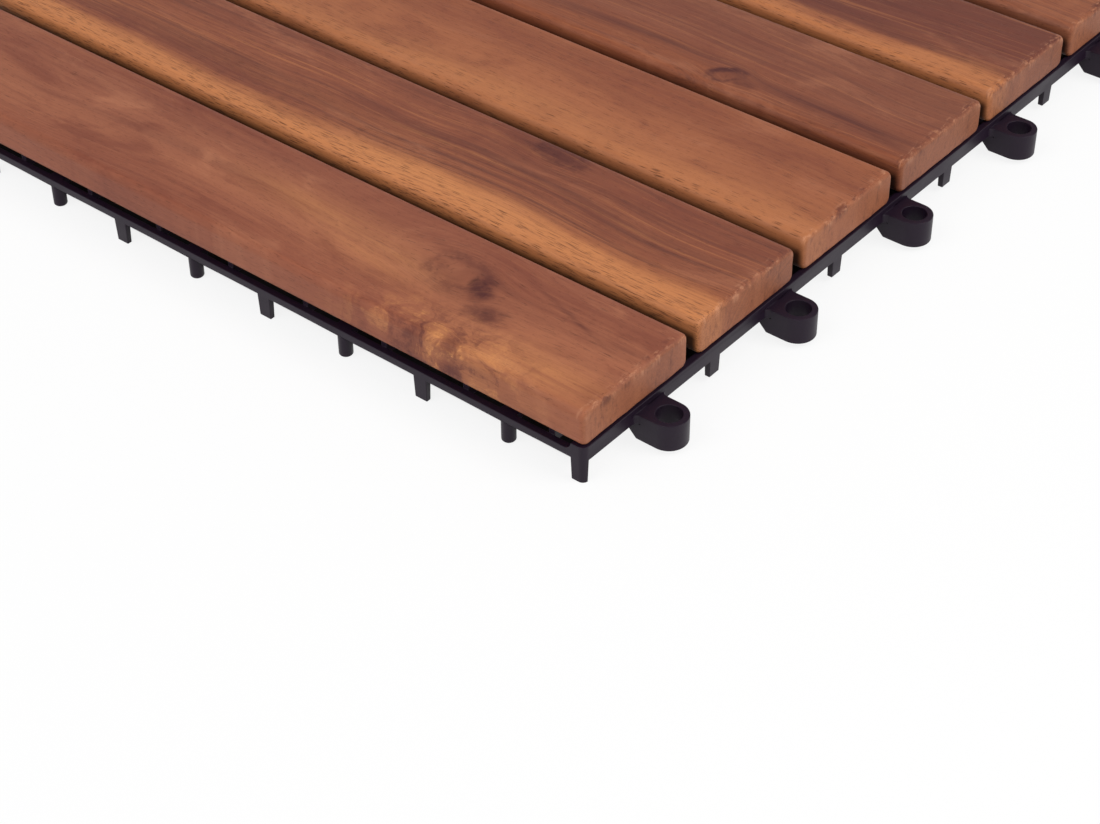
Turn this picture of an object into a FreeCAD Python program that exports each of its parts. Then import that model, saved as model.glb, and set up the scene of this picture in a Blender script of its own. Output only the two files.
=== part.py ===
import FreeCAD, Part
import os
import Sketcher

# Interlocking deck tile: six oiled hardwood slats screwed onto one moulded plastic base.
# Millimetres, +Z up. The origin is the middle of the tile on the ground, X runs along the
# slats and Y across them. High loops stand out of the +X side and low loops out of the +Y
# side. The pegs that drop into a neighbour's loops hang under the -X and -Y sides.

# Driving sizes in millimetres, angles in degrees, and plain counts
SIZES = {
    "module": 300.0,
    "face_gap": 2.3,
    "slat_count": 6,
    "slat_gap": 4.8,
    "slat_thickness": 11.6,
    "slat_setback": 0.4,
    "slat_edge_round": 2.5,
    "slat_end_ease": 0.9,
    "base_top": 12.2,
    "rim_bottom": 7.4,
    "rim_wall": 2.2,
    "corner_round": 2.1,
    "lip_height": 2.4,
    "slot_margin": 4.7,
    "rib_wall": 2.0,
    "long_rib_drop": 1.0,
    "foot_width": 6.0,
    "foot_draft": 3.0,
    "tab_width": 4.7,
    "tab_depth": 2.0,
    "tab_draft": 1.5,
    "short_tab_height": 5.6,
    "link_count": 5,
    "link_reach": 6.75,
    "link_bore_radius": 3.75,
    "link_wall": 1.9,
    "link_root": 4.0,
    "link_root_slope": 4.0,
    "root_flare": 1.6,
    "link_drop": 1.9,
    "high_link_bottom": 1.8,
    "low_link_bottom": 0.3,
    "pass_gap": 0.3,
    "arch_play": 1.2,
    "arch_wall": 1.6,
    "peg_radius": 2.1,
    "peg_chamfer": 0.5,
    "peg_root_margin": 0.6,
    "screws_per_slat": 4,
    "boss_width": 9.2,
    "boss_floor": 2.8,
    "head_radius": 3.3,
    "head_height": 1.8,
    "head_taper": 0.7,
    "head_play": 0.4,
    "shank_radius": 1.75,
    "shank_play": 0.25,
    "pilot_play": 0.05,
    "pilot_spare": 0.2,
    "screw_length": 12.0,
    "screw_tip": 2.0,
}

# Places and lengths that follow from the driving sizes
HALF = "(sizes.module / 2 - sizes.face_gap)"
SLAT_PITCH = "(sizes.module / sizes.slat_count)"
SLAT_WIDTH = "(sizes.module / sizes.slat_count - sizes.slat_gap)"
SLAT_LENGTH = "(sizes.module - 2 * sizes.face_gap - 2 * sizes.slat_setback)"
FIRST_SLAT = "(-(sizes.slat_count - 1) / 2 * sizes.module / sizes.slat_count)"
LINK_PITCH = "(sizes.module / sizes.link_count)"
FIRST_LINK = "(-(sizes.link_count - 1) / 2 * sizes.module / sizes.link_count)"
FIRST_TAB = "(-(sizes.link_count - 2) / 2 * sizes.module / sizes.link_count)"
RIB_PITCH = "(sizes.module / sizes.link_count / 2)"
FIRST_CROSS_RIB = "(-(2 * sizes.link_count - 1) / 4 * sizes.module / sizes.link_count)"
SCREW_PITCH = "(3 * sizes.module / sizes.link_count / 2)"
FIRST_SCREW = "(-(sizes.screws_per_slat - 1) * 3 * sizes.module / sizes.link_count / 4)"
SEAT_HEIGHT = "(sizes.base_top - sizes.boss_floor)"
RIM_DEPTH = "(sizes.base_top - sizes.rim_bottom)"
LIP_TOP = "(sizes.rim_bottom + sizes.lip_height)"
LINK_RADIUS = "(sizes.link_bore_radius + sizes.link_wall)"
LINK_LINE = "(sizes.module / 2 - sizes.face_gap + sizes.link_reach)"
HIGH_LINK_TOP = "(sizes.base_top - sizes.link_drop)"
LOW_LINK_TOP = "(sizes.rim_bottom - sizes.pass_gap)"
PEG_LINE = "(sizes.module / 2 + sizes.face_gap - sizes.link_reach)"
PEG_INSET = "(sizes.link_reach - 2 * sizes.face_gap)"
ARCH_TOP = "(sizes.base_top - sizes.link_drop + sizes.pass_gap)"
ARCH_RADIUS = "(sizes.link_bore_radius + sizes.link_wall + sizes.arch_play)"
ARCH_OUTSIDE = "(sizes.link_bore_radius + sizes.link_wall + sizes.arch_play + sizes.arch_wall)"
RIB_SPAN = "(sizes.module - 2 * sizes.face_gap - sizes.rim_wall)"

# Pattern directions: origin axis, pitch and count
LINK_ROW = {
    "x": ("X_Axis", LINK_PITCH, "sizes.link_count"),
    "y": ("Y_Axis", LINK_PITCH, "sizes.link_count"),
}
SCREW_GRID = (("X_Axis", SCREW_PITCH, "sizes.screws_per_slat"), ("Y_Axis", SLAT_PITCH, "sizes.slat_count"))


def make_sheet(doc):
    """Spreadsheet with one named cell for each driving size."""
    sheet = doc.addObject("Spreadsheet::Sheet", "sizes")
    sheet.Label = "sizes"
    for row, (name, value) in enumerate(SIZES.items(), start=1):
        sheet.set("A%d" % row, name)
        sheet.set("B%d" % row, str(value))
        sheet.setAlias("B%d" % row, name)
    doc.recompute()


def make_body(doc, label):
    """Empty body whose label names its file."""
    body = doc.addObject("PartDesign::Body", label)
    body.Label = label
    return body


def make_group(doc, label):
    """Empty body that may hold several solids apart from each other."""
    body = make_body(doc, label)
    body.AllowCompound = True
    return body


def origin_part(body, role):
    """Plane or axis of the body's own origin."""
    return [item for item in body.Origin.OriginFeatures if item.Role == role][0]


def attach(item, body, plane, x=None, y=None, z=None, turn=0.0):
    """Seat an item on an origin plane, moved in that plane's own directions."""
    item.AttachmentSupport = [(origin_part(body, plane), "")]
    item.MapMode = "FlatFace"
    rotation = FreeCAD.Rotation(FreeCAD.Vector(0, 0, 1), turn)
    item.AttachmentOffset = FreeCAD.Placement(FreeCAD.Vector(0, 0, 0), rotation)
    for axis, text in (("x", x), ("y", y), ("z", z)):
        if text is not None:
            item.setExpression("AttachmentOffset.Base." + axis, text)


def new_sketch(body, label, plane="XY_Plane", **place):
    """Sketch on one of the body's origin planes."""
    sketch = body.newObject("Sketcher::SketchObject", label)
    attach(sketch, body, plane, **place)
    return sketch


def number(item, text):
    """Value of a sheet expression as a plain number."""
    return float(item.evalExpression(text))


def hold(sketch, kind, name, geometry, end, text):
    """Hold one coordinate of a sketch point with a named constraint bound to the sheet."""
    value = number(sketch, text)
    index = sketch.addConstraint(Sketcher.Constraint(kind, -1, 1, geometry, end, value))
    sketch.renameConstraint(index, name + kind)
    if "sizes." in text:
        sketch.setExpression("Constraints." + name + kind, text)


def add_outline(sketch, points, arcs=None):
    """Closed outline through (name, x, y) points.

    arcs maps a point's index to (centre x, centre y, turns left): the run from that point to
    the next one is then an arc about that centre.
    """
    arcs = arcs or {}
    count = len(points)
    places = [FreeCAD.Vector(number(sketch, x), number(sketch, y), 0) for _, x, y in points]
    ends = []
    for i in range(count):
        start, stop = places[i], places[(i + 1) % count]
        if i in arcs:
            centre = FreeCAD.Vector(number(sketch, arcs[i][0]), number(sketch, arcs[i][1]), 0)
            middle = arc_middle(centre, start, stop, arcs[i][2])
            sketch.addGeometry(Part.Arc(start, middle, stop), False)
        else:
            sketch.addGeometry(Part.LineSegment(start, stop), False)
        # A sketch's arcs always run anticlockwise, so one that turns right starts at its end.
        ends.append((2, 1) if i in arcs and not arcs[i][2] else (1, 2))
    for i, (name, x, y) in enumerate(points):
        following = (i + 1) % count
        joint = Sketcher.Constraint("Coincident", i, ends[i][1], following, ends[following][0])
        sketch.addConstraint(joint)
        hold(sketch, "DistanceX", name, i, ends[i][0], x)
        hold(sketch, "DistanceY", name, i, ends[i][0], y)
    for i, (centre_x, _, _) in arcs.items():
        hold(sketch, "DistanceX", points[i][0] + "Centre", i, 3, centre_x)


def arc_middle(centre, start, stop, turns_left):
    """Point halfway along the shorter arc from start to stop about centre."""
    chord = stop - start
    side = FreeCAD.Vector(chord.y, -chord.x, 0)
    side.normalize()
    if not turns_left:
        side = -side
    return centre + side * start.distanceToPoint(centre)


def add_rectangle(sketch, left, right, low, high):
    """Rectangle between four expressions."""
    points = [
        ("LowLeft", left, low),
        ("LowRight", right, low),
        ("HighRight", right, high),
        ("HighLeft", left, high),
    ]
    add_outline(sketch, points)


def add_centred_rectangle(sketch, width, depth):
    """Rectangle about the sketch's origin."""
    add_rectangle(sketch, "-(%s) / 2" % width, "(%s) / 2" % width, "-(%s) / 2" % depth, "(%s) / 2" % depth)


def add_tongue(sketch, radius, length):
    """Tongue along the sketch's X: round end about the origin, root at -length."""
    points = [
        ("RoundStart", "0", "-" + radius),
        ("RoundStop", "0", radius),
        ("RootFar", "-" + length, radius),
        ("RootNear", "-" + length, "-" + radius),
    ]
    add_outline(sketch, points, {0: ("0", "0", True)})


def pad(body, label, sketch, height, down=False, draft=None, both_ways=False):
    """Pad a sketch up or down, or half each way; a draft narrows it on the way."""
    feature = body.newObject("PartDesign::Pad", label)
    feature.Profile = sketch
    feature.Reversed = down
    if both_ways:
        feature.SideType = "Symmetric"
    feature.setExpression("Length", height)
    if draft is not None:
        feature.setExpression("TaperAngle", "-" + draft)
    body.Tip = feature
    return feature


def pocket(body, label, sketch, depth):
    """Cut a sketch out of the body, against the sketch's normal."""
    feature = body.newObject("PartDesign::Pocket", label)
    feature.Profile = sketch
    feature.setExpression("Length", depth)
    body.Tip = feature
    return feature


def cylinder(body, label, radius, height, x, y, z=None, kind="Additive"):
    """Upright cylinder, added or cut (kind Subtractive)."""
    feature = body.newObject("PartDesign::%sCylinder" % kind, label)
    attach(feature, body, "XY_Plane", x, y, z)
    feature.setExpression("Radius", radius)
    feature.setExpression("Height", height)
    body.Tip = feature
    return feature


def cone(body, label, low_radius, high_radius, height, x, y):
    """Cone that stands on the ground."""
    feature = body.newObject("PartDesign::AdditiveCone", label)
    attach(feature, body, "XY_Plane", x, y)
    feature.setExpression("Radius1", low_radius)
    feature.setExpression("Radius2", high_radius)
    feature.setExpression("Height", height)
    body.Tip = feature
    return feature


def repeat(body, label, originals, first, second=None):
    """Pattern along one or two origin axes; each direction is (axis, pitch, count)."""
    feature = body.newObject("PartDesign::LinearPattern", label)
    feature.Originals = originals
    for suffix, run in (("", first), ("2", second)):
        if run is None:
            continue
        axis, pitch, count = run
        setattr(feature, "Direction" + suffix, (origin_part(body, axis), [""]))
        setattr(feature, "Mode" + suffix, "Extent")
        feature.setExpression("Length" + suffix, "(%s - 1) * %s" % (count, pitch))
        feature.setExpression("Occurrences" + suffix, count)
    body.Tip = feature


def dress(body, label, kind, base, belongs, measure, value):
    """Fillet (measure Radius) or chamfer (measure Size) the edges that pass the given test."""
    body.Document.recompute()
    names = ["Edge%d" % i for i, edge in enumerate(base.Shape.Edges, start=1) if belongs(edge)]
    feature = body.newObject("PartDesign::" + kind, label)
    feature.Base = (base, names)
    feature.setExpression(measure, value)
    body.Tip = feature
    return feature


def runs_along(axis):
    """Test for straight edges along one axis."""
    direction = FreeCAD.Vector(*axis)
    return lambda edge: abs(edge.tangentAt(edge.FirstParameter).dot(direction)) > 0.99


def make_rim(doc):
    """Square rim with rounded corners; beside the long slats it stops at a lip.

    The slots this leaves under the slats' edges have round ends near the corners.
    """
    body = make_body(doc, "rim")
    outline = new_sketch(body, "rim_outline", z="sizes.rim_bottom")
    add_centred_rectangle(outline, "2 * " + HALF, "2 * " + HALF)
    plate = pad(body, "rim_plate", outline, RIM_DEPTH)
    dress(body, "rim_corners", "Fillet", plate, runs_along((0, 0, 1)), "Radius", "sizes.corner_round")
    inside = new_sketch(body, "rim_inside", z="sizes.base_top")
    width = "2 * (%s - sizes.rim_wall)" % HALF
    add_centred_rectangle(inside, width, width)
    pocket(body, "rim_opening", inside, RIM_DEPTH)

    rise = "(sizes.base_top - %s)" % LIP_TOP
    end = "(%s - sizes.slot_margin)" % HALF
    floor_end = "(%s - sizes.slot_margin - %s)" % (HALF, rise)
    outline = new_sketch(body, "slot_outline", "XZ_Plane", y=LIP_TOP, z=HALF)
    points = [
        ("FloorLeft", "-" + floor_end, "0"),
        ("FloorRight", floor_end, "0"),
        ("TopRight", end, rise),
        ("TopLeft", "-" + end, rise),
    ]
    arcs = {1: (floor_end, rise, True), 3: ("-" + floor_end, rise, True)}
    add_outline(outline, points, arcs)
    slot = pocket(body, "side_slot", outline, "sizes.rim_wall")
    mirror = body.newObject("PartDesign::Mirrored", "side_slots")
    mirror.Originals = [slot]
    mirror.MirrorPlane = (origin_part(body, "XZ_Plane"), [""])
    body.Tip = mirror
    return body


def make_long_ribs(doc):
    """Ribs along the slats, a little lower than their seats."""
    body = make_group(doc, "long_ribs")
    outline = new_sketch(body, "long_rib_outline", y=FIRST_LINK, z="sizes.rim_bottom")
    add_centred_rectangle(outline, RIB_SPAN, "sizes.rib_wall")
    rib = pad(body, "long_rib", outline, RIM_DEPTH + " - sizes.long_rib_drop")
    repeat(body, "long_rib_row", [rib], ("Y_Axis", RIB_PITCH, "2 * sizes.link_count - 1"))
    return body


def make_cross_ribs(doc):
    """Ribs across the slats, which carry them; inside the slots they stop short."""
    body = make_group(doc, "cross_ribs")
    outline = new_sketch(body, "cross_rib_outline", x=FIRST_CROSS_RIB, z="sizes.rim_bottom")
    add_centred_rectangle(outline, "sizes.rib_wall", "2 * (%s - sizes.rim_wall)" % HALF)
    rib = pad(body, "cross_rib", outline, RIM_DEPTH)
    repeat(body, "cross_rib_row", [rib], ("X_Axis", RIB_PITCH, "2 * sizes.link_count"))
    return body


def make_feet(doc):
    """Square drafted feet that hang from the long ribs."""
    body = make_group(doc, "feet")
    top = "(sizes.base_top - sizes.long_rib_drop)"
    outline = new_sketch(body, "foot_outline", x=FIRST_LINK, y=FIRST_LINK, z=top)
    add_centred_rectangle(outline, "sizes.foot_width", "sizes.foot_width")
    foot = pad(body, "foot", outline, top, down=True, draft="sizes.foot_draft")
    repeat(body, "foot_grid", [foot], LINK_ROW["x"], LINK_ROW["y"])
    return body


def make_tabs(doc):
    """Flat tabs under the rim: down to the ground at -X and -Y, shorter at +X and +Y."""
    bodies = []
    count = "sizes.link_count - 1"
    line = "(%s - sizes.tab_depth / 2)" % HALF
    for side, sign, height in (("near", "-", "sizes.rim_bottom"), ("far", "", "sizes.short_tab_height")):
        body = make_group(doc, side + "_y_tabs")
        place = {"x": FIRST_TAB, "y": sign + line, "z": "sizes.rim_bottom"}
        outline = new_sketch(body, side + "_y_tab_outline", **place)
        add_centred_rectangle(outline, "sizes.tab_width", "sizes.tab_depth")
        tab = pad(body, side + "_y_tab", outline, height, down=True, draft="sizes.tab_draft")
        repeat(body, side + "_y_tab_row", [tab], ("X_Axis", LINK_PITCH, count))
        bodies.append(body)
        body = make_group(doc, side + "_x_tabs")
        place = {"x": sign + line, "y": FIRST_TAB, "z": "sizes.rim_bottom"}
        outline = new_sketch(body, side + "_x_tab_outline", **place)
        add_centred_rectangle(outline, "sizes.tab_depth", "sizes.tab_width")
        tab = pad(body, side + "_x_tab", outline, height, down=True, draft="sizes.tab_draft")
        repeat(body, side + "_x_tab_row", [tab], ("Y_Axis", LINK_PITCH, count))
        bodies.append(body)
    return bodies


def make_corner_feet(doc):
    """One tab at each corner that follows the rounded plan of the rim."""
    body = make_group(doc, "corner_feet")
    inner = "(%s - sizes.tab_width)" % HALF
    round_from = "(%s - sizes.corner_round)" % HALF
    outline = new_sketch(body, "corner_foot_outline", z="sizes.rim_bottom")
    points = [
        ("Left", inner, "-" + HALF),
        ("RoundStart", round_from, "-" + HALF),
        ("RoundStop", HALF, "-" + round_from),
        ("Inner", inner, "-" + round_from),
    ]
    add_outline(outline, points, {1: (round_from, "-" + round_from, True)})
    foot = pad(body, "corner_foot", outline, "sizes.rim_bottom", down=True, draft="sizes.tab_draft")
    turned = body.newObject("PartDesign::PolarPattern", "corner_foot_ring")
    turned.Originals = [foot]
    turned.Axis = (origin_part(body, "Z_Axis"), [""])
    turned.Angle = 360
    turned.Occurrences = 4
    body.Tip = turned
    return body


def make_loops(doc, name, top, root_top):
    """Row of solid loop tongues with sloped roots; x and y swap between the two rows."""
    high = name == "high"
    body = make_group(doc, name + "_loops")
    low = "sizes.%s_link_bottom" % name
    x, y = (LINK_LINE, FIRST_LINK) if high else (FIRST_LINK, LINK_LINE)
    plane, side = ("XZ_Plane", "-" + FIRST_LINK) if high else ("YZ_Plane", FIRST_LINK)
    outline = new_sketch(body, name + "_root_outline", plane, z=side)
    points = [
        ("Bottom", HALF, low),
        ("Outer", HALF, root_top),
        ("Inner", "(%s - sizes.link_root)" % HALF, root_top),
        ("Slope", "(%s - sizes.link_root)" % HALF, "(%s + sizes.link_root_slope)" % low),
    ]
    add_outline(outline, points)
    root = pad(body, name + "_root", outline, "2 * " + LINK_RADIUS, both_ways=True)
    outline = new_sketch(body, name + "_tongue_outline", x=x, y=y, z=low, turn=0.0 if high else 90.0)
    add_tongue(outline, LINK_RADIUS, "sizes.link_reach")
    tongue = pad(body, name + "_tongue", outline, "%s - %s" % (top, low))
    repeat(body, name + "_loop_row", [root, tongue], LINK_ROW["y" if high else "x"])
    return body


def make_root_flares(doc):
    """Small round corners between the high loops and the face of the rim."""
    body = make_group(doc, "root_flares")
    outline = new_sketch(body, "flare_outline", x=HALF, y=FIRST_LINK, z="sizes.rim_bottom")
    reach = "sizes.root_flare"
    wide = "(%s + sizes.root_flare)" % LINK_RADIUS
    inside = "-sizes.rim_wall / 2"
    points = [
        ("BackNear", inside, "-" + wide),
        ("WideNear", "0", "-" + wide),
        ("NeckNear", reach, "-" + LINK_RADIUS),
        ("NeckFar", reach, LINK_RADIUS),
        ("WideFar", "0", wide),
        ("BackFar", inside, wide),
    ]
    add_outline(outline, points, {1: (reach, "-" + wide, False), 3: (reach, wide, False)})
    flare = pad(body, "root_flare", outline, "%s - sizes.rim_bottom" % HIGH_LINK_TOP)
    repeat(body, "root_flare_row", [flare], LINK_ROW["y"])
    return body


def make_arch_part(doc, name, radius, low, height):
    """Row of upright tongues about the -X pegs, open outwards: the arches or their walls."""
    body = make_group(doc, name + "_group")
    outline = new_sketch(body, name + "_outline", x="-" + PEG_LINE, y=FIRST_LINK, z=low)
    add_tongue(outline, radius, PEG_INSET)
    arch = pad(body, name, outline, height)
    repeat(body, name + "_row", [arch], LINK_ROW["y"])
    return body


def make_pegs(doc, name, axis, x, y, top):
    """Row of round pegs with chamfered tips that stand on the ground."""
    body = make_group(doc, name + "_pegs")
    height = "%s - sizes.peg_chamfer" % top
    shaft = cylinder(body, name + "_peg", "sizes.peg_radius", height, x, y, "sizes.peg_chamfer")
    tip_radius = "sizes.peg_radius - sizes.peg_chamfer"
    tip = cone(body, name + "_peg_tip", tip_radius, "sizes.peg_radius", "sizes.peg_chamfer", x, y)
    repeat(body, name + "_peg_row", [shaft, tip], LINK_ROW[axis])
    return body


def make_peg_roots(doc):
    """Square blocks behind the -Y lip that carry the inner halves of its pegs."""
    body = make_group(doc, "peg_roots")
    outline = new_sketch(body, "peg_root_outline", x=FIRST_LINK, z="sizes.rim_bottom")
    half_width = "(sizes.peg_radius + sizes.peg_root_margin)"
    outer = "-(%s - sizes.rim_wall / 2)" % HALF
    inner = "-(%s - sizes.peg_radius - sizes.peg_root_margin)" % PEG_LINE
    add_rectangle(outline, "-" + half_width, half_width, outer, inner)
    root = pad(body, "peg_root", outline, "sizes.lip_height")
    repeat(body, "peg_root_row", [root], LINK_ROW["x"])
    return body


def make_bores(doc, name, axis, x, y):
    """Row of round bores through the loops."""
    body = make_group(doc, name + "_bores")
    bore = cylinder(body, name + "_bore", "sizes.link_bore_radius", "sizes.base_top", x, y)
    repeat(body, name + "_bore_row", [bore], LINK_ROW[axis])
    return body


def make_bosses(doc):
    """Square seats for the screws at the top of the cross ribs."""
    body = make_group(doc, "bosses")
    outline = new_sketch(body, "boss_outline", x=FIRST_SCREW, y=FIRST_SLAT, z=SEAT_HEIGHT)
    add_centred_rectangle(outline, "sizes.boss_width", "sizes.boss_width")
    boss = pad(body, "boss", outline, "sizes.boss_floor")
    repeat(body, "boss_grid", [boss], *SCREW_GRID)
    return body


def make_screw_holes(doc):
    """Room for each head in its rib, and a clear hole through the seat above it."""
    body = make_group(doc, "screw_holes")
    place = {"x": FIRST_SCREW, "y": FIRST_SLAT}
    radius = "sizes.head_radius + sizes.head_play"
    depth = RIM_DEPTH + " - sizes.boss_floor"
    bore = cylinder(body, "head_bore", radius, depth, z="sizes.rim_bottom", **place)
    radius = "sizes.shank_radius + sizes.shank_play"
    hole = cylinder(body, "shank_hole", radius, "sizes.boss_floor", z=SEAT_HEIGHT, **place)
    repeat(body, "screw_hole_grid", [bore, hole], *SCREW_GRID)
    return body


def make_base(doc):
    """One-piece moulded base: solid groups fused, relieved, and given their pegs."""
    solids = doc.addObject("Part::MultiFuse", "base_solids")
    solids.Shapes = [
        make_rim(doc),
        make_long_ribs(doc),
        make_cross_ribs(doc),
        make_feet(doc),
        *make_tabs(doc),
        make_corner_feet(doc),
        make_loops(doc, "high", HIGH_LINK_TOP, HIGH_LINK_TOP),
        make_loops(doc, "low", LOW_LINK_TOP, LIP_TOP),
        make_root_flares(doc),
        make_peg_roots(doc),
        make_arch_part(doc, "arch_wall", ARCH_OUTSIDE, "sizes.rim_bottom", RIM_DEPTH),
        make_bosses(doc),
    ]
    voids = doc.addObject("Part::Compound", "base_voids")
    voids.Links = [
        make_arch_part(doc, "arch", ARCH_RADIUS, "0", ARCH_TOP),
        make_bores(doc, "high", "y", LINK_LINE, FIRST_LINK),
        make_bores(doc, "low", "x", FIRST_LINK, LINK_LINE),
        make_screw_holes(doc),
    ]
    relieved = doc.addObject("Part::Cut", "base_relieved")
    relieved.Base = solids
    relieved.Tool = voids
    base = doc.addObject("Part::MultiFuse", "base_grid")
    base.Label = "base_grid"
    base.Shapes = [
        relieved,
        make_pegs(doc, "near_y", "x", FIRST_LINK, "-" + PEG_LINE, "(sizes.rim_bottom + sizes.lip_height / 2)"),
        make_pegs(doc, "near_x", "y", "-" + PEG_LINE, FIRST_LINK, ARCH_TOP),
    ]
    return base


def make_slat(doc, index):
    """One slat with rounded edges and blind pilot holes for its screws."""
    label = "slat_%d" % (index + 1)
    body = make_body(doc, label)
    middle = "(%s + %d * %s)" % (FIRST_SLAT, index, SLAT_PITCH)
    outline = new_sketch(body, label + "_outline", y=middle, z="sizes.base_top")
    add_centred_rectangle(outline, SLAT_LENGTH, SLAT_WIDTH)
    board = pad(body, label + "_board", outline, "sizes.slat_thickness")
    along = runs_along((1, 0, 0))
    rounded = dress(body, label + "_long_edges", "Fillet", board, along, "Radius", "sizes.slat_edge_round")
    end = number(body, SLAT_LENGTH) / 2
    at_end = lambda edge: all(abs(abs(vertex.X) - end) < 1e-6 for vertex in edge.Vertexes)
    dress(body, label + "_end_edges", "Chamfer", rounded, at_end, "Size", "sizes.slat_end_ease")
    radius = "sizes.shank_radius + sizes.pilot_play"
    depth = "sizes.screw_length - sizes.boss_floor + sizes.pilot_spare"
    place = {"x": FIRST_SCREW, "y": middle, "z": "sizes.base_top"}
    pilot = cylinder(body, label + "_pilot", radius, depth, kind="Subtractive", **place)
    repeat(body, label + "_pilots", [pilot], ("X_Axis", SCREW_PITCH, "sizes.screws_per_slat"))
    return body


def make_screw(doc, slat, place):
    """Pan-head wood screw driven upwards, with its head against the boss floor."""
    label = "screw_%d_%d" % (slat + 1, place + 1)
    body = make_body(doc, label)
    outline = new_sketch(body, label + "_outline", "XZ_Plane")
    points = [
        ("Axis", "0", "-sizes.head_height"),
        ("HeadFlat", "(sizes.head_radius - sizes.head_taper)", "-sizes.head_height"),
        ("HeadBack", "sizes.head_radius", "0"),
        ("Neck", "sizes.shank_radius", "0"),
        ("Shoulder", "sizes.shank_radius", "sizes.screw_length - sizes.screw_tip"),
        ("Tip", "0", "sizes.screw_length"),
    ]
    add_outline(outline, points)
    turned = body.newObject("PartDesign::Revolution", label + "_turned")
    turned.Profile = outline
    turned.ReferenceAxis = (outline, ["V_Axis"])
    turned.Angle = 360
    body.Tip = turned
    body.setExpression("Placement.Base.x", "%s + %d * %s" % (FIRST_SCREW, place, SCREW_PITCH))
    body.setExpression("Placement.Base.y", "%s + %d * %s" % (FIRST_SLAT, slat, SLAT_PITCH))
    body.setExpression("Placement.Base.z", SEAT_HEIGHT)
    return body


def check(doc, bodies):
    """Stop before anything is written if a feature failed or a shape is unsound."""
    for item in doc.Objects:
        if "Invalid" in item.State or "Error" in item.State:
            raise RuntimeError("%s did not compute: %s" % (item.Name, item.State))
    for body in bodies:
        if body.Shape.isNull() or not body.Shape.isValid() or len(body.Shape.Solids) != 1:
            raise RuntimeError("%s is not one sound solid" % body.Label)


def main():
    """Build every sub-part and write one file for each."""
    doc = FreeCAD.newDocument("deck_tile")
    make_sheet(doc)
    slats = range(int(SIZES["slat_count"]))
    places = range(int(SIZES["screws_per_slat"]))
    bodies = [make_base(doc)]
    bodies += [make_slat(doc, slat) for slat in slats]
    bodies += [make_screw(doc, slat, place) for slat in slats for place in places]
    doc.recompute()
    check(doc, bodies)
    os.makedirs("parts", exist_ok=True)
    for body in bodies:
        body.Shape.exportStep("parts/%s.step" % body.Label)
        box = body.Shape.BoundBox
        print("%-12s volume %9.1f  z %.2f to %.2f" % (body.Label, body.Shape.Volume, box.ZMin, box.ZMax))


main()
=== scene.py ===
import logging
import math
from dataclasses import dataclass, field
from enum import Enum

import bmesh
import bpy
from mathutils import Matrix, Vector
from mathutils.bvhtree import BVHTree


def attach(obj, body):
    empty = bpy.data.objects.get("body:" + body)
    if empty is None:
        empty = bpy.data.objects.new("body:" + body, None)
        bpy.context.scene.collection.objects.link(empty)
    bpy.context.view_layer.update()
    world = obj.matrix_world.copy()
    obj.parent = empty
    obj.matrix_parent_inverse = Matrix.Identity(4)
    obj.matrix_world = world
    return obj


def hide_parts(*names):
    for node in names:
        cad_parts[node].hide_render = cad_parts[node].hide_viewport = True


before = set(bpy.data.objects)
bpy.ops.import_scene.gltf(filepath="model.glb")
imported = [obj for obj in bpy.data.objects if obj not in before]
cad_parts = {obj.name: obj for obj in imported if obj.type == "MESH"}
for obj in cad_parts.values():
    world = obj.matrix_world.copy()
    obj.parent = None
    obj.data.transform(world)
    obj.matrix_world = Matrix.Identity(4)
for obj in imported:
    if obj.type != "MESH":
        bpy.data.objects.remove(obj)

# Looks of an interlocking deck tile: oiled hardwood slats on a moulded plastic base.
#
# The row frame is in metres. Sizes in the classes below are in millimetres and turned into
# metres where a mesh is made. Patterns read Object coordinates scaled to millimetres.

MM = 0.001
ROOT = "root"
LOG = logging.getLogger("deck_tile")

Pair = tuple[float, float]
Triple = tuple[float, float, float]
Colour = Triple


class Slot(Enum):
    """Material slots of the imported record."""

    BASE = "base"
    SLATS = "slats"
    SCREWS = "screws"


class Tone(Enum):
    """Tones of a patch in the wood, as display colours."""

    DARK = (74.0, 33.0, 33.0)
    RED = (116.0, 60.0, 46.0)
    GOLDEN = (206.0, 138.0, 86.0)


def linear(red: float, green: float, blue: float) -> Colour:
    """Turn a display colour of 0 to 255 into a linear one.

    Args:
        red: Display red.
        green: Display green.
        blue: Display blue.

    Returns:
        The linear colour that renders about as written.
    """

    def channel(value: float) -> float:
        share = value / 255.0
        return share / 12.92 if share <= 0.04045 else ((share + 0.055) / 1.055) ** 2.4

    return channel(red), channel(green), channel(blue)


class Value:
    """A value inside a node tree. Arithmetic with it adds Math nodes."""

    def __init__(self, graph: "Graph", socket: bpy.types.NodeSocket) -> None:
        """Wrap an output socket of a tree."""
        self.graph = graph
        self.socket = socket

    def __add__(self, other: object) -> "Value":
        """This value plus another."""
        return self.graph.math("ADD", self, other)

    def __sub__(self, other: object) -> "Value":
        """This value less another."""
        return self.graph.math("SUBTRACT", self, other)

    def __rsub__(self, other: object) -> "Value":
        """Another value less this one."""
        return self.graph.math("SUBTRACT", other, self)

    def __mul__(self, other: object) -> "Value":
        """This value times another."""
        return self.graph.math("MULTIPLY", self, other)

    def __truediv__(self, other: object) -> "Value":
        """This value over another."""
        return self.graph.math("DIVIDE", self, other)

    __radd__ = __add__
    __rmul__ = __mul__


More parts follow.
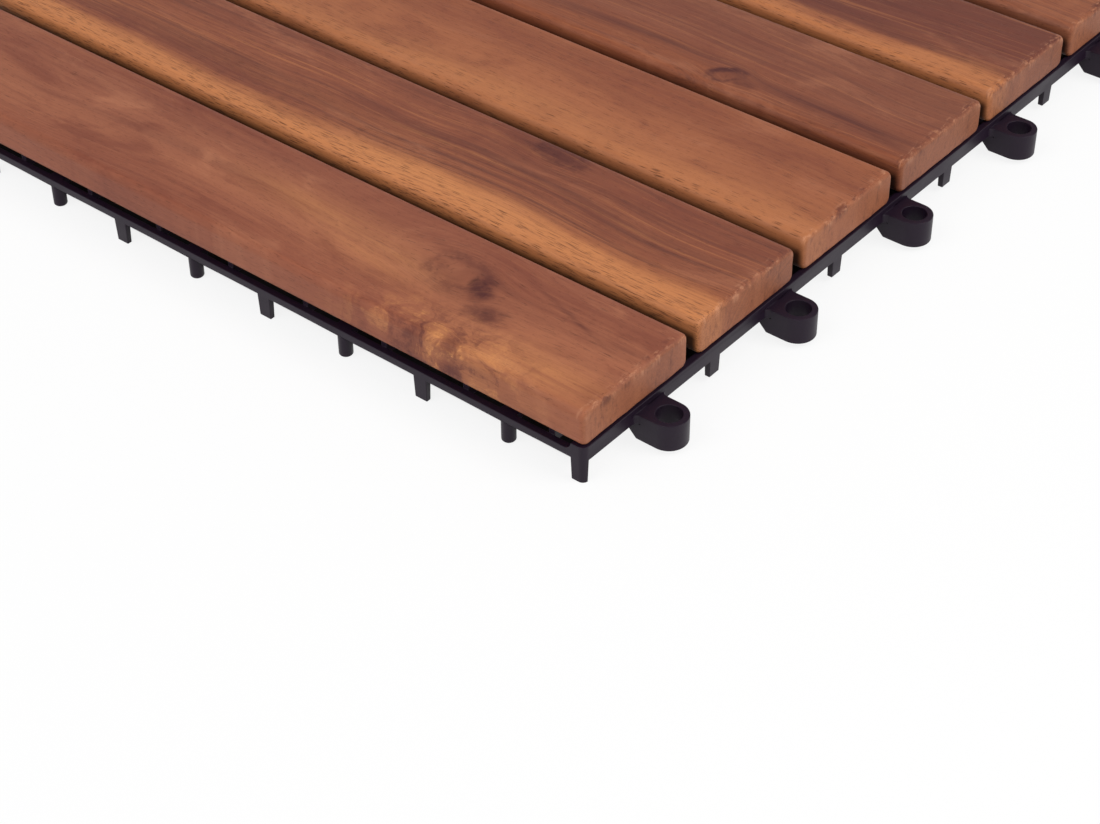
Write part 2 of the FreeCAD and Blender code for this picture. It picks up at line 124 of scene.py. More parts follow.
class Graph:
    """Short way to write a node tree of either kind."""

    def __init__(self, tree: bpy.types.NodeTree) -> None:
        """Start on an emptied tree."""
        self.tree = tree
        self.tree.nodes.clear()

    def feed(self, socket: bpy.types.NodeSocket, value: object) -> None:
        """Link a socket to another one, or set its own value.

        Args:
            socket: The input to fill.
            value: A value of the tree, an output socket or a plain value.
        """
        if isinstance(value, Value):
            value = value.socket
        if isinstance(value, bpy.types.NodeSocket):
            self.tree.links.new(value, socket)
        elif isinstance(value, tuple) and len(value) == 3 and len(socket.default_value) == 4:
            socket.default_value = (*value, 1.0)
        else:
            socket.default_value = value

    def add(self, kind: str, inputs: dict | None = None, **settings: object) -> bpy.types.Node:
        """Add a node.

        Args:
            kind: The node's type name.
            inputs: Values or links by input name or number.
            settings: The node's own properties.

        Returns:
            The new node.
        """
        node = self.tree.nodes.new(kind)
        for name, value in settings.items():
            setattr(node, name, value)
        for name, value in (inputs or {}).items():
            self.feed(node.inputs[name], value)
        return node

    def out(self, kind: str, inputs: dict | None = None, **settings: object) -> Value:
        """First output of a new node, which is asked for as in add."""
        return Value(self, self.add(kind, inputs, **settings).outputs[0])

    def math(self, operation: str, first: object, second: object = 0.0) -> Value:
        """Result of a Math node, some of which take no second value."""
        return self.out("ShaderNodeMath", {0: first, 1: second}, operation=operation)

    def hypotenuse(self, first: Value, second: Value) -> Value:
        """Root of the sum of two squares."""
        return self.math("SQRT", first * first + second * second)

    def bell(self, away: Value, narrow: float = 1.0) -> Value:
        """Bell that falls from 1 as a distance grows from 0, the faster the narrower it is."""
        return self.math("EXPONENT", away * away * -narrow)

    def vector(self, x: object = 0.0, y: object = 0.0, z: object = 0.0) -> Value:
        """Vector from three values or links."""
        return self.out("ShaderNodeCombineXYZ", {0: x, 1: y, 2: z})

    def split(self, vector: object) -> list[Value]:
        """The three parts of a vector."""
        node = self.add("ShaderNodeSeparateXYZ", {0: vector})
        return [Value(self, part) for part in node.outputs]

    def span(
        self, value: object, low: float, high: float, start: float = 0.0, stop: float = 1.0
    ) -> Value:
        """Smooth step of a value from one range to another.

        Args:
            value: The value to map.
            low: Where the step starts.
            high: Where it ends; it may be below low.
            start: Result at low.
            stop: Result at high.

        Returns:
            The mapped value.
        """
        ends = (high, low, stop, start) if high < low else (low, high, start, stop)
        inputs = dict(enumerate((value, *ends)))
        return self.out("ShaderNodeMapRange", inputs, interpolation_type="SMOOTHSTEP")


class MaterialGraph(Graph):
    """A material's tree with one Principled surface."""

    def __init__(self, name: str) -> None:
        """Make the material and its surface.

        Args:
            name: The finish in plain words.
        """
        self.material = bpy.data.materials.new(name)
        self.material.use_nodes = True
        super().__init__(self.material.node_tree)
        self.surface = self.add("ShaderNodeBsdfPrincipled")
        self.output = self.add("ShaderNodeOutputMaterial", {0: self.surface.outputs[0]})

    def object_point(self, shift: Triple = (0.0, 0.0, 0.0)) -> Value:
        """Object coordinates in millimetres.

        Args:
            shift: Added after scaling, to centre or vary a pattern.

        Returns:
            The scaled coordinates.
        """
        coordinates = self.add("ShaderNodeTexCoord").outputs["Object"]
        inputs = {"Vector": coordinates, "Location": shift, "Scale": (1.0 / MM,) * 3}
        return self.out("ShaderNodeMapping", inputs)

    def noise(
        self, at: Value, detail: float = 2.0, roughness: float = 0.5, distortion: float = 0.0
    ) -> Value:
        """Noise between 0 and 1 at coordinates that are already scaled."""
        shape = {"Detail": detail, "Roughness": roughness, "Distortion": distortion}
        return self.out("ShaderNodeTexNoise", {"Vector": at, "Scale": 1.0, **shape})

    def stretched(
        self, point: Value, scales: Triple, detail: float = 2.0, roughness: float = 0.5
    ) -> Value:
        """Noise at a point, with its own steps per millimetre on each axis."""
        parts = [part * scale for part, scale in zip(self.split(point), scales)]
        return self.noise(self.vector(*parts), detail, roughness)

    def finish(self, **inputs: object) -> bpy.types.Material:
        """Fill the surface's inputs, with _ for a space in their names, and give the material.

        Args:
            inputs: Values by input name.

        Returns:
            The finished material.
        """
        for name, value in inputs.items():
            self.feed(self.surface.inputs[name.replace("_", " ")], value)
        return self.material

    def mix(self, share: object, first: object, second: object) -> Value:
        """Mix two colours.

        Args:
            share: How much of the second one.
            first: Colour below.
            second: Colour above.

        Returns:
            The mixed colour.
        """
        inputs = {0: share, 6: first, 7: second}
        node = self.add("ShaderNodeMix", inputs, data_type="RGBA", clamp_factor=True)
        return Value(self, node.outputs[2])

    def ramp(self, value: Value, stops: list[tuple[float, Colour]]) -> Value:
        """Colour ramp.

        Args:
            value: Place on the ramp.
            stops: Place and colour of each stop.

        Returns:
            The colour.
        """
        node = self.add("ShaderNodeValToRGB", {0: value})
        marks = node.color_ramp.elements
        while len(marks) < len(stops):
            marks.new(0.5)
        for mark, (place, colour) in zip(marks, stops):
            mark.position = place
            mark.color = (*colour, 1.0)
        return Value(self, node.outputs[0])

    def bump(self, height: Value, depth: float) -> None:
        """Relief of the surface from a height of 0 to 1 and its full depth in millimetres."""
        relief = {"Height": height, "Strength": 1.0, "Distance": depth * MM}
        self.feed(self.surface.inputs["Normal"], self.out("ShaderNodeBump", relief))


@dataclass(frozen=True)
class Grain:
    """A noise drawn out along the grain.

    `along`, `across` and `deep` are its steps per millimetre on the slat's axes. Where `deep` is 0,
    the third place is the slat's own seed plus `offset`, so that no two slats share a pattern.
    `shown` is where it starts to show and where it shows in full, and `light` is the same for its
    light tone.
    """

    along: float
    across: float
    deep: float = 0.0
    offset: float = 0.0
    detail: float = 2.0
    roughness: float = 0.5
    distortion: float = 0.0
    shown: Pair = (0.5, 0.68)
    light: Pair = (0.5, 0.68)


WANDER = Grain(0.011, 0.02, detail=1.0)
TONE_SPREAD = Grain(0.006, 0.09, offset=3.1, detail=3.0, roughness=0.55)
WIDE_BANDS = Grain(
    0.0045, 0.26, offset=9.0, detail=4.0, roughness=0.62, distortion=0.25, shown=(0.48, 0.74)
)
NARROW_LINES = Grain(
    0.008, 0.95, offset=5.0, detail=4.0, roughness=0.68, distortion=0.15,
    shown=(0.5, 0.66), light=(0.46, 0.3),
)
MOTTLE = Grain(
    0.028, 0.075, offset=77.0, detail=4.0, roughness=0.6, distortion=0.7,
    shown=(0.5, 0.3), light=(0.52, 0.72),
)
GOLDEN_REACH = Grain(0.02, 0.16, offset=1.7, detail=3.0, roughness=0.6)
STREAK_FRAY = Grain(0.03, 0.9, offset=21.0, detail=3.0, roughness=0.6, shown=(0.25, 0.65))
KNOT_EDGE = Grain(0.2, 0.26, offset=13.0, detail=3.0, roughness=0.6)
KNOT_PATCHES = Grain(0.31, 0.35, offset=57.0, detail=3.0, roughness=0.6)
FIGURE = Grain(
    0.11, 0.1, 0.1, detail=5.0, roughness=0.62, distortion=0.6,
    shown=(0.5, 0.41), light=(0.51, 0.61),
)
FIGURE_WARP = Grain(0.05, 0.09, offset=3.0)
FIGURE_BREAKS = Grain(0.7, 0.55, 0.5, detail=3.0, roughness=0.7)
FIBRE = Grain(0.04, 1.5, 1.5, detail=5.0, roughness=0.72, shown=(0.46, 0.7), light=(0.46, 0.26))
SPECK = Grain(0.42, 2.6, 2.6, detail=3.0, roughness=0.7, shown=(0.55, 0.72))
PORE_DRIFT = Grain(0.016, 0.13, offset=31.0, shown=(0.35, 0.7))
PORE_CELLS = Grain(0.16, 2.7, 2.7, shown=(0.38, 0.16))
END_SMUDGE = Grain(0.3, 0.13, offset=41.0, detail=4.0, roughness=0.7, shown=(0.54, 0.66))
END_SCUFF = Grain(0.9, 0.32, offset=47.0, detail=4.0, roughness=0.7)
END_SAWN = Grain(0.1, 0.5, 0.16, detail=4.0, roughness=0.7)


@dataclass(frozen=True)
class Spot:
    """An ellipse on a slat's top, in millimetres from the slat's middle, with its half axes."""

    x: float
    y: float
    along: float
    across: float


@dataclass(frozen=True)
class Knot(Spot):
    """A knot, which the grain parts around."""

    swell: float = 0.75
    ring: float = 0.0
    heart: float = 0.0
    tilt: float = 0.0


@dataclass(frozen=True)
class Streak(Spot):
    """A soft patch drawn out along the grain."""

    amount: float
    slope: float = 0.0
    tone: Tone = Tone.DARK


@dataclass(frozen=True)
class Hardwood:
    """Oiled hardwood of one slat.

    Tones are display colours of the lit top: at the far edge, in the middle and at the near edge.
    Amounts are shares of 0 to 1. Noises are cut at shares of 0 to 1, and lengths are millimetres.
    """

    seed: float
    far: Colour
    middle: Colour
    near: Colour
    stripe: Colour = (104.0, 60.0, 48.0)
    stripes: float = 0.45
    lines: float = 0.35
    fibres: float = 0.3
    specks: float = 0.42
    mottle: float = 0.3
    golden_edge: float = 0.0
    pores: float = 0.5
    figure: float = 0.0
    figure_at: float = 0.0
    knots: tuple[Knot, ...] = ()
    streaks: tuple[Streak, ...] = ()

    golden: Colour = (194.0, 125.0, 78.0)
    light: Colour = (184.0, 120.0, 88.0)
    pore: Colour = (58.0, 28.0, 20.0)
    crossed: Colour = (88.0, 42.0, 40.0)
    cut_end: Colour = (160.0, 102.0, 72.0)
    cut_speck: Colour = (106.0, 64.0, 50.0)
    scuffed: Colour = (204.0, 146.0, 112.0)
    sawn: Colour = (92.0, 52.0, 40.0)
    # Near-black tone of the painted shade on the slat sides in the gaps.
    painted_gap_shade_tone: Colour = (22.0, 11.0, 9.0)

    wander: float = 11.0
    parting: float = 1.9
    heart_beside: float = 30.0
    heart_below: float = 26.0
    figure_size: Triple = (-23.0, 26.0, 12.0)
    golden_pores: Pair = (-15.0, -2.0)
    end_face: Pair = (0.75, 0.1)
    end_rim: Pair = (3.6, 1.0)
    top_rim: Pair = (3.6, 1.2)
    # How strongly and where the gap sides get painted shade, as a share and in millimetres.
    gap_shade: float = 0.9
    gap_depth: Pair = (2.8, 6.6)
    gap_side: Pair = (1.5, 0.3)
    gap_outer: Pair = (4.0, 8.0)
    gap_end: Pair = (0.3, 2.5)
    gloss: Pair = (0.46, 0.58)
    specular: float = 0.2
    relief: float = 0.1

    def material(self, name: str, centre_y: float, slat: "SlatRow") -> bpy.types.Material:
        """Make a slat's material, centred on its place across the tile."""
        return WoodGraph(name, self, centre_y, slat).paint()


class WoodGraph(MaterialGraph):
    """A slat's tree, with places in millimetres from its middle and the colour laid so far."""

    def __init__(self, name: str, wood: Hardwood, centre_y: float, slat: "SlatRow") -> None:
        """Start the tree.

        Args:
            name: Name of the material.
            wood: The slat's wood.
            centre_y: Middle of the slat across the tile.
            slat: Sizes of the slats.
        """
        super().__init__(name)
        self.wood = wood
        self.centre_y = centre_y
        self.slat = slat
        self.x, self.y, self.z = self.split(self.object_point((0.0, -centre_y, 0.0)))
        self.grain_y = self.y
        self.colour: Value | None = None

    def grained(self, grain: Grain, across: Value | None = None) -> Value:
        """Noise drawn out along the grain.

        Args:
            grain: Its steps and shape.
            across: Place across the grain, or None for the one that parts around the knots.

        Returns:
            The noise, between 0 and 1.
        """
        across = self.grain_y if across is None else across
        third = self.z * grain.deep if grain.deep else self.wood.seed + grain.offset
        at = self.vector(self.x * grain.along, across * grain.across, third)
        return self.noise(at, grain.detail, grain.roughness, grain.distortion)

    def away(
        self, spot: Spot, grown: float = 1.0, tilt: float = 0.0, drift: Value | None = None
    ) -> Value:
        """Distance from a spot's middle in units of its half axes.

        Args:
            spot: The spot.
            grown: How many times larger it is taken.
            tilt: Its turn in degrees.
            drift: How far it drifts across the slat, or None.

        Returns:
            The distance.
        """
        y = self.y if drift is None else self.y - drift
        off_x, off_y = self.x - spot.x, y - spot.y
        if tilt:
            lean, rise = math.cos(math.radians(tilt)), math.sin(math.radians(tilt))
            turned_x = off_x * lean + off_y * rise
            off_y = off_y * lean - off_x * rise
            off_x = turned_x
        along, across = 1.0 / (spot.along * grown), 1.0 / (spot.across * grown)
        return self.hypotenuse(off_x * along, off_y * across)

    def cover(self, share: Value, tone: Colour) -> None:
        """Lay a display tone over the colour so far, by a share."""
        self.colour = self.mix(share, self.colour, linear(*tone))

    def wash(self, value: Value, shown: Pair, amount: float, tone: Colour) -> None:
        """Lay a display tone by up to an amount, where a value passes through a range."""
        self.cover(self.span(value, *shown, 0.0, amount), tone)

    def within(self, value: Value, edge: float, insets: Pair, full: float = 1.0) -> Value:
        """Smooth step of a value between two insets from an edge."""
        return self.span(value, edge - insets[0], edge - insets[1], 0.0, full)

    def paint(self) -> bpy.types.Material:
        """Lay all that the slat's colour, gloss and relief are made of.

        Returns:
            The finished material.
        """
        wood = self.wood
        self.bend_grain()
        self.lay_body()
        self.lay_streaks()
        self.lay_knots()
        if wood.figure:
            self.lay_figure()
        fibre = self.grained(FIBRE)
        pore = self.pore_dashes()
        self.wash(fibre, FIBRE.shown, wood.fibres, wood.stripe)
        self.wash(fibre, FIBRE.light, 0.6 * wood.fibres, wood.golden)
        self.wash(self.grained(SPECK), SPECK.shown, wood.specks, wood.pore)
        self.cover(pore, wood.pore)
        self.lay_ends()
        self.lay_gap_shade()
        rough = self.span(fibre, 0.2, 0.8, *wood.gloss) + pore * 0.2
        self.bump(fibre * 0.35 - pore, wood.relief)
        return self.finish(
            Base_Color=self.colour, Roughness=rough, Specular_IOR_Level=wood.specular
        )

    def bend_grain(self) -> None:
        """Let the grain wander slowly and part around the knots."""
        wander = self.grained(WANDER, self.y) - 0.5
        bent = self.y + wander * self.wood.wander
        for knot in self.wood.knots:
            pull = self.bell(self.away(knot, self.wood.parting))
            bent = bent - (self.y - knot.y) * pull * knot.swell
        self.grain_y = bent

    def lay_body(self) -> None:
        """Lay growth bands in the slat's own tones, with arcs where they meet the ends."""
        wood, half = self.wood, self.slat.width / 2.0
        depth = self.z - (self.slat.bottom - wood.heart_below)
        ring = self.hypotenuse(self.grain_y - wood.heart_beside, depth)
        spread = self.grained(TONE_SPREAD, ring) - 0.5
        across = self.grain_y * (0.5 / half) + 0.5 + spread * 0.9
        places = ((0.02, wood.near), (0.45, wood.middle), (0.95, wood.far))
        tones = [(place, linear(*tone)) for place, tone in places]
        self.colour = self.ramp(across, tones)
        self.wash(self.grained(WIDE_BANDS, ring), WIDE_BANDS.shown, wood.stripes, wood.stripe)
        lines = self.grained(NARROW_LINES, ring)
        self.wash(lines, NARROW_LINES.shown, wood.lines, wood.stripe)
        self.wash(lines, NARROW_LINES.light, 0.6 * wood.lines, wood.golden)
        mottle = self.grained(MOTTLE)
        self.wash(mottle, MOTTLE.shown, wood.mottle, Tone.RED.value)
        self.wash(mottle, MOTTLE.light, 0.8 * wood.mottle, wood.light)
        if wood.golden_edge:
            reach = self.grained(GOLDEN_REACH) * 14.0 + (2.0 - half)
            self.wash(self.grain_y - reach, (3.0, -3.0), wood.golden_edge, wood.golden)

    def lay_streaks(self) -> None:
        """Lay the streaks, frayed along the grain."""
        fray = self.span(self.grained(STREAK_FRAY), *STREAK_FRAY.shown, 0.25, 1.0)
        for streak in self.wood.streaks:
            drift = (self.x - streak.x) * streak.slope
            body = self.bell(self.away(streak, drift=drift))
            self.cover(body * fray * streak.amount, streak.tone.value)

    def lay_knots(self) -> None:
        """Lay each knot's heart and dark rim."""
        if not self.wood.knots:
            return
        edge = (self.grained(KNOT_EDGE, self.y) - 0.5) * 0.9
        patches = self.grained(KNOT_PATCHES, self.y)
        for knot in self.wood.knots:
            away = self.away(knot, tilt=knot.tilt) + edge
            if knot.heart:
                heart = self.span(away, 1.3, 0.35, 0.0, knot.heart)
                heart = heart * self.span(patches, 0.3, 0.6, 0.7, 1.0)
                self.cover(heart, Tone.DARK.value)
            if knot.ring:
                rim = self.bell(away - 1.0, 9.0)
                rim = rim * knot.ring * self.span(patches, 0.35, 0.62, 0.3, 1.0)
                self.cover(rim, Tone.DARK.value)

    def lay_figure(self) -> None:
        """Lay the curly, part golden and part dark figure of crossed grain at the near edge."""
        wood = self.wood
        warp = self.grained(FIGURE_WARP, self.y) * 2.4
        along = self.x * FIGURE.along + self.y * 0.03 + warp
        at = self.vector(along, self.y * FIGURE.across, self.z * FIGURE.deep)
        curl = self.noise(at, FIGURE.detail, FIGURE.roughness, FIGURE.distortion)
        patch = self.bell(self.away(Spot(wood.figure_at, *wood.figure_size)))
        breaks = self.grained(FIGURE_BREAKS, self.y)
        for shown, broken, tone in (
            (FIGURE.shown, (0.35, 0.6, 0.35, 0.85), wood.crossed),
            (FIGURE.light, (0.4, 0.62, 0.3, 0.95), Tone.GOLDEN.value),
        ):
            curls = self.span(curl, *shown, 0.0, wood.figure) * patch
            self.cover(curls * self.span(breaks, *broken), tone)

    def pore_dashes(self) -> Value:
        """Short dark dashes of the open pores, in drifts, thickest at a golden edge.

        Returns:
            How much of the pores' tone shows, between 0 and 1.
        """
        cells = self.vector(
            self.x * PORE_CELLS.along + self.wood.seed,
            self.grain_y * PORE_CELLS.across,
            self.z * PORE_CELLS.deep,
        )
        node = self.add("ShaderNodeTexVoronoi", {"Vector": cells, "Scale": 1.0}, feature="F1")
        dash = self.span(node.outputs["Distance"], *PORE_CELLS.shown)
        chance, _, _ = self.split(node.outputs["Color"])
        wanted = self.span(self.grained(PORE_DRIFT), *PORE_DRIFT.shown) * self.wood.pores
        depth = 0.38
        if self.wood.golden_edge:
            near = self.within(self.y, -self.slat.width / 2.0, self.wood.golden_pores)
            wanted = wanted + near * (0.75 * self.wood.golden_edge)
            depth = near * 0.3 + 0.4
        kept = self.span(chance - wanted, 0.05, -0.05)
        return dash * kept * depth

    def lay_ends(self) -> None:
        """Dull the cut ends, and scuff and smudge them where they meet the top."""
        wood, half = self.wood, self.slat.length / 2.0
        reach = self.math("ABSOLUTE", self.x)
        end = self.within(reach, half, wood.end_face)
        at = self.vector(self.y * 1.3, self.z * 1.5, wood.seed)
        speck = self.span(self.noise(at, 3.0, 0.7), 0.35, 0.7, 0.0, 0.45)
        dull = self.mix(speck, linear(*wood.cut_end), linear(*wood.cut_speck))
        self.colour = self.mix(end * 0.5, self.colour, dull)
        rim = self.within(reach, half, wood.end_rim)
        rim = rim * self.within(self.z, self.slat.top, wood.top_rim)
        for grain, place, amount, tone in (
            (END_SMUDGE, rim, 0.6, Tone.DARK.value),
            (END_SCUFF, rim, 0.45, wood.scuffed),
            (END_SAWN, end, 0.5, wood.sawn),
        ):
            mark = self.span(self.grained(grain, self.y), *grain.shown, 0.0, amount)
            self.cover(place * mark, tone)

    def lay_gap_shade(self) -> None:
        """Darken the sides that stand in a gap, the more the deeper they go: a painted shade of the
        gaps.
        """
        wood, slat = self.wood, self.slat
        half = slat.width / 2.0
        outer = (slat.count - 1) / 2.0 * slat.pitch + half
        from_middle = self.math("ABSOLUTE", self.y + self.centre_y)
        side = self.within(self.math("ABSOLUTE", self.y), half, wood.gap_side)
        inside = self.within(from_middle, outer, wood.gap_outer)
        off_end = self.within(self.math("ABSOLUTE", self.x), slat.length / 2.0, wood.gap_end)
        low = self.within(self.z, slat.top, wood.gap_depth, wood.gap_shade)
        # Painted shade: the sides in the gaps fade to near black below the top.
        self.cover(side * inside * off_end * low, wood.painted_gap_shade_tone)


@dataclass(frozen=True)
class MouldedPlastic:
    """Black moulded plastic with a soft sheen and a faint warm cast."""

    body: Colour = (30.0, 18.0, 33.0)
    rubbed: Colour = (38.0, 25.0, 41.0)
    cloud_scale: Triple = (0.05, 0.05, 0.12)
    grain_scale: Triple = (2.2, 2.2, 2.2)
    gloss: Pair = (0.36, 0.5)
    specular: float = 0.22
    relief: float = 0.02

    def material(self, name: str) -> bpy.types.Material:
        """Make the plastic.

        Args:
            name: Name of the material.

        Returns:
            The material.
        """
        graph = MaterialGraph(name)
        point = graph.object_point()
        cloud = graph.stretched(point, self.cloud_scale, 3.0)
        rub = graph.span(cloud, 0.5, 0.8, 0.0, 0.35)
        colour = graph.mix(rub, linear(*self.body), linear(*self.rubbed))
        rough = graph.span(cloud, 0.25, 0.75, *self.gloss)
        graph.bump(graph.stretched(point, self.grain_scale), self.relief)
        return graph.finish(Base_Color=colour, Roughness=rough, Specular_IOR_Level=self.specular)


@dataclass(frozen=True)
class Zinc:
    """Plain zinc plating with a dull mottle."""

    light: Colour = (176.0, 176.0, 172.0)
    dull: Colour = (132.0, 130.0, 126.0)
    mottle_scale: Triple = (0.6, 0.6, 0.6)
    gloss: Pair = (0.28, 0.46)

    def material(self, name: str) -> bpy.types.Material:
        """Make the plating.

        Args:
            name: Name of the material.

        Returns:
            The material.
        """
        graph = MaterialGraph(name)
        mottle = graph.stretched(graph.object_point(), self.mottle_scale, 4.0, 0.6)
        tone = graph.mix(graph.span(mottle, 0.4, 0.7), linear(*self.light), linear(*self.dull))
        rough = graph.span(mottle, 0.3, 0.7, *self.gloss)
        return graph.finish(Base_Color=tone, Roughness=rough, Metallic=1.0)


@dataclass(frozen=True)
class PaleFloor:
    """White floor and backdrop that show a faint shadow of the tile, and a painted shadow under it.
    """

    glow: float = 0.86
    shaded_half: float = 141.5
    shade_edge: float = 2.5
    pale: float = 0.86
    # Near-black colour of the painted shadow under the tile.
    under: float = 0.03
    backdrop_from: float = 10.0

    def material(self, name: str) -> bpy.types.Material:
        """Make the floor, with a painted shadow where the tile stands: its glow stops there and its
        colour falls to near black.

        Args:
            name: Name of the material.

        Returns:
            The material.
        """
        graph = MaterialGraph(name)
        path = graph.add("ShaderNodeLightPath")
        seen = graph.math("MAXIMUM", path.outputs["Is Camera Ray"], path.outputs["Is Glossy Ray"])
        seen = graph.math("MAXIMUM", seen, path.outputs["Is Transmission Ray"])
        white = graph.out("ShaderNodeEmission", {"Color": (1.0, 1.0, 1.0), "Strength": 1.0})
        x, y, z = graph.split(graph.object_point())
        reach = graph.math("MAXIMUM", graph.math("ABSOLUTE", x), graph.math("ABSOLUTE", y))
        # Painted shadow: inside the tile's footprint the floor turns dark and stops glowing.
        open_floor = graph.span(reach, self.shaded_half - self.shade_edge, self.shaded_half)
        tone = graph.mix(open_floor, (self.under,) * 3, (self.pale,) * 3)
        glow = graph.span(z, 0.0, self.backdrop_from, self.glow, 1.0)
        share = seen * glow * open_floor
        inputs = {0: share, 1: graph.surface.outputs[0], 2: white}
        graph.feed(graph.output.inputs["Surface"], graph.out("ShaderNodeMixShader", inputs))
        return graph.finish(Base_Color=tone, Roughness=1.0, Specular_IOR_Level=0.0)


def add_object(name: str, data: bpy.types.ID) -> bpy.types.Object:
    """Add an object to the scene.

    Args:
        name: Its name.
        data: Its mesh, lamp or camera.

    Returns:
        The object.
    """
    item = bpy.data.objects.new(name, data)
    bpy.context.scene.collection.objects.link(item)
    return item


class GeometryGraph(Graph):
    """A Geometry Nodes tree with named inputs."""

    def __init__(self, name: str) -> None:
        """Make the tree with its one geometry output.

        Args:
            name: What the tree makes.
        """
        super().__init__(bpy.data.node_groups.new(name, "GeometryNodeTree"))
        item = {"in_out": "OUTPUT", "socket_type": "NodeSocketGeometry"}
        self.tree.interface.new_socket("Geometry", **item)
        self.entry = self.add("NodeGroupInput")
        self.exit = self.add("NodeGroupOutput")
        self.identifiers: dict[str, str] = {}

    def numbers(self, *names: str, whole: bool = False) -> list[Value]:
        """Named inputs of the tree.

        Args:
            names: The inputs' names.
            whole: Whether they count things.

        Returns:
            Their values inside the tree.
        """
        kind = "NodeSocketInt" if whole else "NodeSocketFloat"
        for name in names:
            item = self.tree.interface.new_socket(name, in_out="INPUT", socket_type=kind)
            self.identifiers[name] = item.identifier
        return [Value(self, self.entry.outputs[name]) for name in names]

    def made(self, kind: str, inputs: dict | None = None, **settings: object) -> Value:
        """First output of a new geometry node, whose kind is named without its prefix."""
        return self.out("GeometryNode" + kind, inputs, **settings)

    def close(self, geometry: Value, material: bpy.types.Material) -> None:
        """End the tree in real meshes with a material.

        Args:
            geometry: What the tree has made.
            material: Its material.
        """
        real = self.made("RealizeInstances", {0: geometry})
        dressed = self.made("SetMaterial", {"Geometry": real, "Material": material})
        self.feed(self.exit.inputs[0], dressed)

    def grow(self, name: str, values: dict[str, float]) -> bpy.types.Object:
        """Run the tree once and keep the result as a plain mesh.

        Args:
            name: Name of the new piece.
            values: Values of the tree's inputs by name.

        Returns:
            The new piece, in place, with no modifier.
        """
        carrier = add_object(name + "_carrier", bpy.data.meshes.new(name + "_carrier"))
        modifier = carrier.modifiers.new("grow", "NODES")
        modifier.node_group = self.tree
        for key, value in values.items():
            modifier[self.identifiers[key]] = value
        bpy.context.view_layer.update()
        evaluated = carrier.evaluated_get(bpy.context.evaluated_depsgraph_get())
        mesh = bpy.data.meshes.new_from_object(evaluated)
        mesh.name = name
        carrier.modifiers.remove(modifier)
        bpy.data.objects.remove(carrier)
        return add_object(name, mesh)


def dress(mesh: bpy.types.Mesh, material: bpy.types.Material) -> None:
    """Give a mesh one material."""
    mesh.materials.clear()
    mesh.materials.append(material)


def enter(piece: bpy.types.Object, material: bpy.types.Material, slot: Slot, *nodes: str) -> None:
    """Put a finished piece in the place of its CAD nodes, in the same material.

    Args:
        piece: The piece.
        material: Its material.
        slot: Its slot in the record; not used.
        nodes: Names of the nodes.
    """
    dress(piece.data, material)
    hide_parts(*nodes)
    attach(piece, ROOT)
    for name in nodes:
        dress(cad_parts[name].data, material)
    LOG.info("%s: %d faces", piece.name, len(piece.data.polygons))


def smooth(mesh: bpy.types.Mesh, angle: float) -> None:
    """Shade a mesh smooth, apart from edges sharper than an angle in degrees."""
    mesh.shade_smooth()
    mesh.set_sharp_from_angle(angle=math.radians(angle))


def soften(mesh: bpy.types.Mesh) -> None:
    """Shade a mesh smooth with normals that follow its larger faces, so that flats stay flat.

    Args:
        mesh: The mesh.
    """
    normals = [Vector() for _ in mesh.vertices]
    for face in mesh.polygons:
        for index in face.vertices:
            normals[index] += face.normal * face.area
    mesh.shade_smooth()
    mesh.normals_split_custom_set_from_vertices([normal.normalized() for normal in normals])


